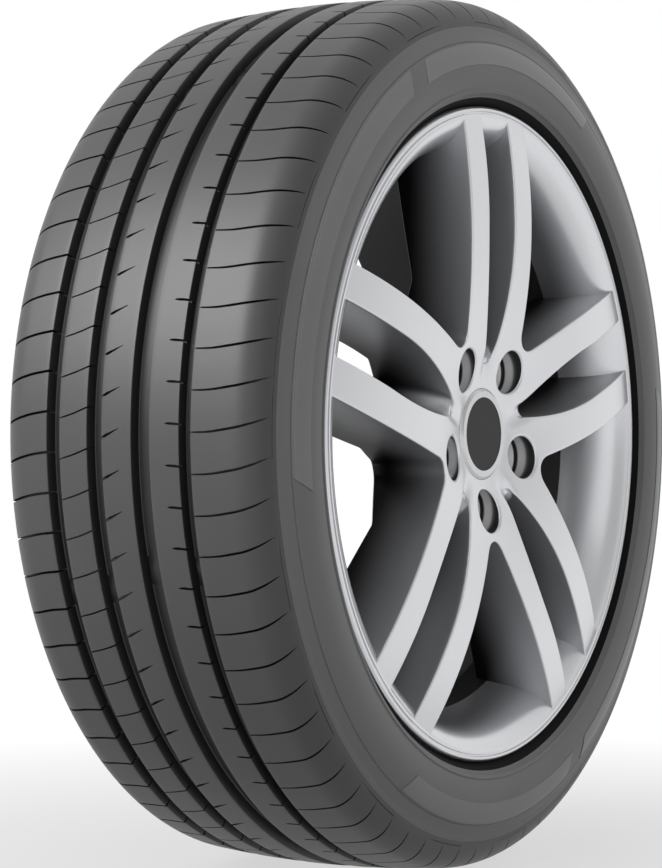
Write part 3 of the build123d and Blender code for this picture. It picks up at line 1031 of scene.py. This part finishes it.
def spoke_loops(size):
    """Outlines of the spokes from their face to their back: rounded edge, drafted flanks, back edge."""
    edge = size["edge"]
    inset = -edge - FACE_INSET
    loops = [placed(round_wheel(pair_half(inset, GAP_TIP + inset, SPOKE_END_R[0])), spoke_face)]
    for turn in steps(0.0, pi / 2, 3):
        spread = edge * (sin(turn) - 1)
        sink = edge * (1 - cos(turn))
        outline = round_wheel(pair_half(spread, GAP_TIP + spread, SPOKE_END_R[0]))
        loops.append([(x, spoke_face(x, z) + sink, z) for x, z in outline])
    full = HUB_BACK - spoke_face(0.0, GAP_TIP)
    for share in FLANK_SHARES:
        spread = share * full * tan(size["draft"]) - (BACK_BREAK if share == 1.0 else 0.0)
        tip = GAP_TIP + RAMP_REACH * max(share - RAMP_START / full, 0.0) ** RAMP_CURVE
        end_r = np.interp(share, SPOKE_END_DEPTH, SPOKE_END_R)
        outline = round_wheel(pair_half(spread, tip, end_r))
        loops.append([(x, spoke_face(x, z) * (1 - share) + spoke_back(x, z) * share, z) for x, z in outline])
    return loops


def polar_places(radius, start):
    """Five places on a circle in plan, from a start angle in degrees."""
    turns = [radians(start + 360.0 * index / PAIRS) for index in range(PAIRS)]
    return [(radius * cos(turn), radius * sin(turn)) for turn in turns]


def turned_loops(centre, profile, segments):
    """Loops of a turned wall: each has a radius, and a height or the surface that it lies on."""
    return [placed(circle(centre, radius, segments), height) for radius, height in profile]


def cap_seat_loops():
    """The seat for the centre cap and the bore behind it, from front to back."""
    profile = [
        (SEAT_RIM_R, spoke_face),
        (CAP_SEAT_R + SEAT_BREAK, spoke_face),
        (CAP_SEAT_R, SPOKE_FACE[0][1] + SEAT_BREAK),
        (CAP_SEAT_R, CAP_SEAT_Y),
        (BORE_R, CAP_SEAT_Y),
        (BORE_R, HUB_BACK - BORE_MOUTH_R + BORE_R),
        (BORE_MOUTH_R, HUB_BACK),
    ]
    return turned_loops((0, 0), profile, SEAT_SEGMENTS)


def bolt_loops(centre, chamfer):
    """A bolt pocket, front to back: rounded mouth, sloping ledge, bore, conical seat and through hole."""
    ledge_foot = POCKET_LEDGE + (POCKET_R - BOLT_BORE_R) * CONE_SLOPE
    seat_foot = POCKET_FLOOR + (BOLT_SEAT_R - BOLT_HOLE_R) * CONE_SLOPE
    loops = turned_loops(centre, [(POCKET_R + chamfer + HOLE_BREAK, spoke_face)], BOLT_SEGMENTS)
    for turn in steps(0.0, pi / 2, 5):
        sink = chamfer * (1 - cos(turn))
        rim = circle(centre, POCKET_R + chamfer * (1 - sin(turn)), BOLT_SEGMENTS)
        loops.append([(x, spoke_face(x, z) + sink, z) for x, z in rim])
    profile = [(POCKET_R + out, POCKET_LEDGE + back) for out, back in POCKET_LEDGE_TOP]
    profile += [(BOLT_BORE_R + out, ledge_foot + back) for out, back in POCKET_LEDGE_FOOT]
    profile += [
        (BOLT_BORE_R, POCKET_FLOOR),
        (BOLT_SEAT_R, POCKET_FLOOR),
        (BOLT_HOLE_R, seat_foot),
        (BOLT_HOLE_R, HUB_BACK - HOLE_BREAK),
        (BOLT_HOLE_R + HOLE_BREAK, HUB_BACK),
    ]
    return loops + turned_loops(centre, profile, BOLT_SEGMENTS)


def hub_pocket_loops(centre):
    """A weight-saving pocket in the mounting face, from back to front."""
    profile = [
        (HUB_POCKET_R + HOLE_BREAK, HUB_BACK),
        (HUB_POCKET_R, HUB_BACK - HOLE_BREAK),
        (HUB_POCKET_R - HOLE_BREAK, HUB_POCKET_FLOOR + HUB_POCKET_ROUND),
        (HUB_POCKET_R - HOLE_BREAK - HUB_POCKET_ROUND, HUB_POCKET_FLOOR),
    ]
    return turned_loops(centre, profile, HUB_POCKET_SEGMENTS)


def inner_points(gap_tip, spread, holes, spacing):
    """Even points in plan, clear of the outline and of the holes: each hole is (centre, radius)."""
    margin = NET_MARGIN * spacing
    count = int(SPOKE_END_R[0] / spacing)
    kept = []
    for row in range(-count, count + 1):
        for column in range(-count, count + 1):
            x = spacing * (column + 0.5 * (row % 2))
            z = spacing * row * sqrt(3) / 2
            r = hypot(x, z)
            along, across = in_pair(x, z)
            in_hub = r < HUB_NET_R
            in_spoke = along > WINDOW_START and across < through(PAIR_EDGE, along) + spread - margin
            in_gap = along > gap_tip - margin and across < gap_half(along) - spread + margin
            if r > SPOKE_END_R[-1] - margin or not (in_hub or in_spoke) or in_gap:
                continue
            if all(hypot(x - cx, z - cz) > radius + margin for (cx, cz), radius in holes):
                kept.append((x, z))
    return kept


def spider_skin(size):
    """The hub and five pairs of spokes as one closed skin."""
    skin = Skin()
    front, back = skin.walls(spoke_loops(size))
    seat_front, seat_back = skin.walls(cap_seat_loops())
    bolts = polar_places(BOLT_CIRCLE_R, BOLT_START)
    pockets = polar_places(BOLT_CIRCLE_R, HUB_POCKET_START)
    bolt_walls = [skin.walls(bolt_loops(centre, size["pocket_chamfer"])) for centre in bolts]
    pocket_walls = [skin.walls(hub_pocket_loops(centre)) for centre in pockets]
    for _, floor in pocket_walls:
        skin.faces.append(tuple(floor))
    mouth = POCKET_R + size["pocket_chamfer"] + HOLE_BREAK
    front_holes = [((0.0, 0.0), SEAT_RIM_R)] + [(centre, mouth) for centre in bolts]
    front_points = inner_points(GAP_TIP, -size["edge"], front_holes, FRONT_SPACING)
    skin.fill([front, seat_front] + [wall[0] for wall in bolt_walls], front_holes, front_points, spoke_face)
    back_holes = [((0.0, 0.0), BORE_MOUTH_R)] + [(centre, BOLT_HOLE_R + HOLE_BREAK) for centre in bolts]
    back_holes += [(centre, HUB_POCKET_R + HOLE_BREAK) for centre in pockets]
    back_points = inner_points(BACK_TIP, 0.0, back_holes, BACK_SPACING)
    back_loops = [back, seat_back] + [wall[1] for wall in bolt_walls] + [wall[0] for wall in pocket_walls]
    skin.fill(back_loops, back_holes, back_points, spoke_back)
    return skin


def united(first, second):
    """Joins a second piece's volume to the first."""
    union = first.modifiers.new("union", "BOOLEAN")
    union.object = second
    union.operation = "UNION"
    union.solver = "MANIFOLD"
    evaluated = first.evaluated_get(bpy.context.evaluated_depsgraph_get())
    mesh = bpy.data.meshes.new_from_object(evaluated)
    first.modifiers.clear()
    first.data = mesh
    bpy.data.objects.remove(second)
    return first


def barrel_section():
    """The barrel's closed section: rim contour, lip with its fine groove, and the bowl behind the lip."""
    bowl = bezier(BOWL_FOOT, BOWL_PULL, LIP_EDGE, 16)
    return rounded(BARREL) + bowl + [LIP_ROUND]


def wheel_finish(face):
    """The finish of a face: lacquer in front, flank silver with painted shade on flanks, a near-black coat
    that is partly painted shade inside, bare metal with painted shade bands in pockets.
    """
    x, y, z = face.center / MM
    r = hypot(x, z)
    inward = -(x * face.normal.x + z * face.normal.z) / r
    from_bolt = min(hypot(x - cx, z - cz) for cx, cz in polar_places(BOLT_CIRCLE_R, BOLT_START))
    if from_bolt < POCKET_REACH and face.normal.y < INBOARD and y > spoke_face(x, z) + FACE_DEPTH:
        return POCKET
    in_bowl = y < BOWL_FOOT[0] and r > BOWL_FOOT[1] and inward > INWARD
    on_lip = r > SPOKE_END_R[-1] and face.normal.y < OUTBOARD
    if in_bowl or on_lip or y < spoke_face(x, z) + FACE_DEPTH:
        return LACQUER
    # Faces looking at the axis, and back faces, take the near-black coat, partly painted shade.
    return DARK_COAT_AND_SHADE if inward > INWARD or face.normal.y > INBOARD else SHADED_FLANK


class WHEEL_OT_alloy_wheel(bpy.types.Operator):
    """Casts the wheel: barrel, lip, five pairs of spokes, hub, bolt pockets and cap seat"""

    bl_idname = "wheel.alloy_wheel"
    bl_label = "Alloy wheel"

    def execute(self, context):
        size = in_millimetres(context.scene.wheel_sizes)
        finish = context.scene.wheel_finishes
        turned = Skin()
        turned.lathe(barrel_section(), BARREL_SEGMENTS)
        wheel = united(spider_skin(size).piece("wheel_casting"), turned.piece("barrel"))
        wheel.data.shade_smooth()
        wheel.data.set_sharp_from_angle(angle=radians(CREASE))
        finishes = [
            silver_lacquer("alloy_cast_silver_lacquer", finish.lacquer, 0.3),
            # flanks: silver darkening deeper into the wheel, as painted shade
            flank_with_painted_shade("alloy_cast_sprayed_base_coat", finish.base_coat, finish.casting),
            # inside and back: near-black coat, partly painted shade
            shaded_dark_coat("alloy_cast_dark_primer", finish.casting),
            # pockets: bare metal with bands of painted shade
            bored_alloy("alloy_cast_bored", finish.pocket, finish.casting),
        ]
        dress(wheel, finishes, [wheel_finish(face) for face in wheel.data.polygons])
        stand_for(wheel, "alloy_wheel")
        return {"FINISHED"}


# Cap and valve


def finish_node(name, finish, edge):
    """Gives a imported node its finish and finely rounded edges."""
    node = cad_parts[name]
    node.data.materials.clear()
    node.data.materials.append(finish)
    weld = node.modifiers.new("weld", "WELD")
    weld.merge_threshold = 0.001 * MM
    bevel = node.modifiers.new("rounded edges", "BEVEL")
    bevel.width = edge * MM
    bevel.segments = 2
    bevel.limit_method = "ANGLE"
    bevel.angle_limit = radians(CREASE)


class WHEEL_OT_centre_cap(bpy.types.Operator):
    """Finishes the centre cap's bezel and its bare inlay"""

    bl_idname = "wheel.centre_cap"
    bl_label = "Centre cap"

    def execute(self, context):
        finish = context.scene.wheel_finishes
        inlay = smooth_moulding("cap_inlay_satin_plastic", finish.inlay, 0.45, grain=1.0, specular=0.25)
        finish_node("centre_cap", silver_lacquer("cap_silver_lacquer", finish.bezel, 0.25), edge=0.4)
        finish_node("cap_disc", inlay, edge=0.2)
        return {"FINISHED"}


class WHEEL_OT_valve(bpy.types.Operator):
    """Finishes the valve's rubber, brass and cap"""

    bl_idname = "wheel.valve"
    bl_label = "Valve"

    def execute(self, context):
        finish = context.scene.wheel_finishes
        rubber = smooth_moulding("valve_rubber_moulded", finish.valve_rubber, 0.6, grain=0.8)
        brass = turned_brass("valve_brass_turned", finish.brass)
        plastic = smooth_moulding("valve_cap_moulded_plastic", finish.valve_cap, 0.5, grain=0.6)
        finish_node("valve_body", rubber, edge=0.3)
        finish_node("valve_stem", brass, edge=0.2)
        finish_node("valve_core", brass, edge=0.1)
        finish_node("valve_cap", plastic, edge=0.4)
        return {"FINISHED"}


# Studio, in metres

CAMERA_PLACE = (-1.7230, -1.0156, 0.0)
CAMERA_TURN = radians(-58.66)  # about the upright, from looking along +Y
CAMERA_LENS = 111.65
FLOOR_SIZE = 30.0
GLOW_START = 0.3  # distances from the wheel's centre between which the floor turns to plain white
GLOW_END = 0.9
GLOW_NEAR = 0.62  # share of plain white in the floor beside the wheel
WHITE = (1.0, 1.0, 1.0, 1.0)
ROOM = 0.55  # brightness of the room behind the camera in reflections, where the backdrop is 1
ROOM_EDGE = -0.3  # how far a direction points at the backdrop: up to here it meets the room
BACKDROP_EDGE = 0.75  # and from here the backdrop
EVEN_LIGHT = 0.1
SOFTBOXES = [  # name, place, width, height, power, shown in glossy surfaces
    ("tread softbox", (-2.0, 0.7, 1.3), 2.2, 1.4, 85.0, True),
    ("face softbox", (1.6, -2.0, 1.0), 3.6, 2.6, 36.0, False),
    ("fill card", (-2.2, -2.0, 0.8), 1.8, 2.6, 6.6, True),
]


def looked_at(tree, path):
    """1 for rays that show a surface to the camera, straight, mirrored or through glass, and 0 for light."""
    seen = path.outputs["Is Camera Ray"]
    for kind in ("Is Glossy Ray", "Is Transmission Ray"):
        either = add(tree, "ShaderNodeMath", {0: seen, 1: path.outputs[kind]}, operation="MAXIMUM")
        seen = either.outputs["Value"]
    return seen


def paper_floor(name, base):
    """Matt white paper: near white to the camera, with the object's soft shadow."""
    made, tree, place = material(name)
    paper = add(tree, "ShaderNodeBsdfDiffuse", {"Color": rgba(base)})
    glow = add(tree, "ShaderNodeEmission", {"Color": WHITE, "Strength": 1.0})
    distance = add(tree, "ShaderNodeVectorMath", {0: place}, operation="LENGTH")
    fade = add(
        tree, "ShaderNodeMapRange",
        {
            "Value": distance.outputs["Value"],
            "From Min": GLOW_START,
            "From Max": GLOW_END,
            "To Min": GLOW_NEAR,
            "To Max": 1.0,
        },
    )
    seen = looked_at(tree, add(tree, "ShaderNodeLightPath"))
    share = add(tree, "ShaderNodeMath", {0: seen, 1: fade.outputs["Result"]}, operation="MULTIPLY")
    mixed = add(
        tree, "ShaderNodeMixShader",
        {0: share.outputs["Value"], 1: paper.outputs["BSDF"], 2: glow.outputs["Emission"]},
    )
    add(tree, "ShaderNodeOutputMaterial", {"Surface": mixed.outputs["Shader"]})
    return made


def studio_world():
    """White backdrop, greyer in reflections towards the room behind the camera, and a low even light."""
    world = bpy.data.worlds.new("studio")
    world.use_nodes = True
    tree = world.node_tree
    tree.nodes.clear()
    direction = add(tree, "ShaderNodeTexCoord").outputs["Generated"]
    to_backdrop = (-sin(CAMERA_TURN), cos(CAMERA_TURN), 0.0)
    facing = add(tree, "ShaderNodeVectorMath", {0: direction, 1: to_backdrop}, operation="DOT_PRODUCT")
    mirrored = add(
        tree, "ShaderNodeMapRange",
        {
            "Value": facing.outputs["Value"],
            "From Min": ROOM_EDGE,
            "From Max": BACKDROP_EDGE,
            "To Min": ROOM,
            "To Max": 1.0,
        },
        interpolation_type="SMOOTHSTEP",
    )
    path = add(tree, "ShaderNodeLightPath")
    shown = add(
        tree, "ShaderNodeMapRange",
        {"Value": path.outputs["Is Glossy Ray"], "To Min": 1.0, "To Max": mirrored.outputs["Result"]},
    )
    strength = add(
        tree, "ShaderNodeMapRange",
        {"Value": looked_at(tree, path), "To Min": EVEN_LIGHT, "To Max": shown.outputs["Result"]},
    )
    sky = add(tree, "ShaderNodeBackground", {"Color": WHITE, "Strength": strength.outputs["Result"]})
    add(tree, "ShaderNodeOutputWorld", {"Surface": sky.outputs["Background"]})
    return world


def softbox(name, place, width, height, power, mirrored):
    """A large soft area lamp that looks at the wheel, and shows in glossy surfaces or not."""
    lamp = bpy.data.lights.new(name, "AREA")
    lamp.shape = "RECTANGLE"
    lamp.size = width
    lamp.size_y = height
    lamp.energy = power
    box = bpy.data.objects.new(name, lamp)
    box.location = place
    box.rotation_euler = (-Vector(place)).to_track_quat("-Z", "Y").to_euler()
    box.visible_glossy = mirrored
    bpy.context.scene.collection.objects.link(box)


class WHEEL_OT_stage(bpy.types.Operator):
    """Sets the floor, the surroundings, the softboxes and the camera"""

    bl_idname = "wheel.stage"
    bl_label = "Stage"

    def execute(self, context):
        scene = context.scene
        mesh = bpy.data.meshes.new("floor")
        half = FLOOR_SIZE / 2
        plan = [(-half, -half), (half, -half), (half, half), (-half, half)]
        mesh.from_pydata([(x, y, TYRE_LOW.z) for x, y in plan], [], [(0, 1, 2, 3)])
        mesh.materials.append(paper_floor("paper_floor_matt", scene.wheel_finishes.floor))
        floor = bpy.data.objects.new("floor", mesh)
        scene.collection.objects.link(floor)
        scene.world = studio_world()
        for box in SOFTBOXES:
            softbox(*box)
        lens = bpy.data.cameras.new("photo view")
        lens.lens = CAMERA_LENS
        camera = bpy.data.objects.new("photo view", lens)
        camera.location = CAMERA_PLACE
        camera.rotation_euler = (pi / 2, 0.0, CAMERA_TURN)
        scene.collection.objects.link(camera)
        scene.camera = camera
        scene.view_settings.view_transform = "Standard"
        return {"FINISHED"}


class WHEEL_PT_panel(bpy.types.Panel):
    """Lists the wheel's pieces, sizes and finishes"""

    bl_idname = "WHEEL_PT_panel"
    bl_label = "Car tyre on alloy wheel"
    bl_space_type = "VIEW_3D"
    bl_region_type = "UI"
    bl_category = "Wheel"

    def draw(self, context):
        for operator in OPERATORS:
            self.layout.operator(operator.bl_idname)
        for key, group in GROUPS.items():
            column = self.layout.column()
            for name in group.__annotations__:
                column.prop(getattr(context.scene, key), name)


GROUPS = {"tyre_sizes": TyreSizes, "wheel_sizes": WheelSizes, "wheel_finishes": Finishes}
OPERATORS = [WHEEL_OT_tyre, WHEEL_OT_alloy_wheel, WHEEL_OT_centre_cap, WHEEL_OT_valve, WHEEL_OT_stage]


def register():
    for owner in [*GROUPS.values(), *OPERATORS, WHEEL_PT_panel]:
        bpy.utils.register_class(owner)
    for name, group in GROUPS.items():
        setattr(bpy.types.Scene, name, bpy.props.PointerProperty(type=group))


def unregister():
    for name in GROUPS:
        delattr(bpy.types.Scene, name)
    for owner in [WHEEL_PT_panel, *OPERATORS, *GROUPS.values()]:
        bpy.utils.unregister_class(owner)


def main():
    register()
    bpy.ops.wheel.tyre()
    bpy.ops.wheel.alloy_wheel()
    bpy.ops.wheel.centre_cap()
    bpy.ops.wheel.valve()
    bpy.ops.wheel.stage()


if __name__ == "__main__":
    main()
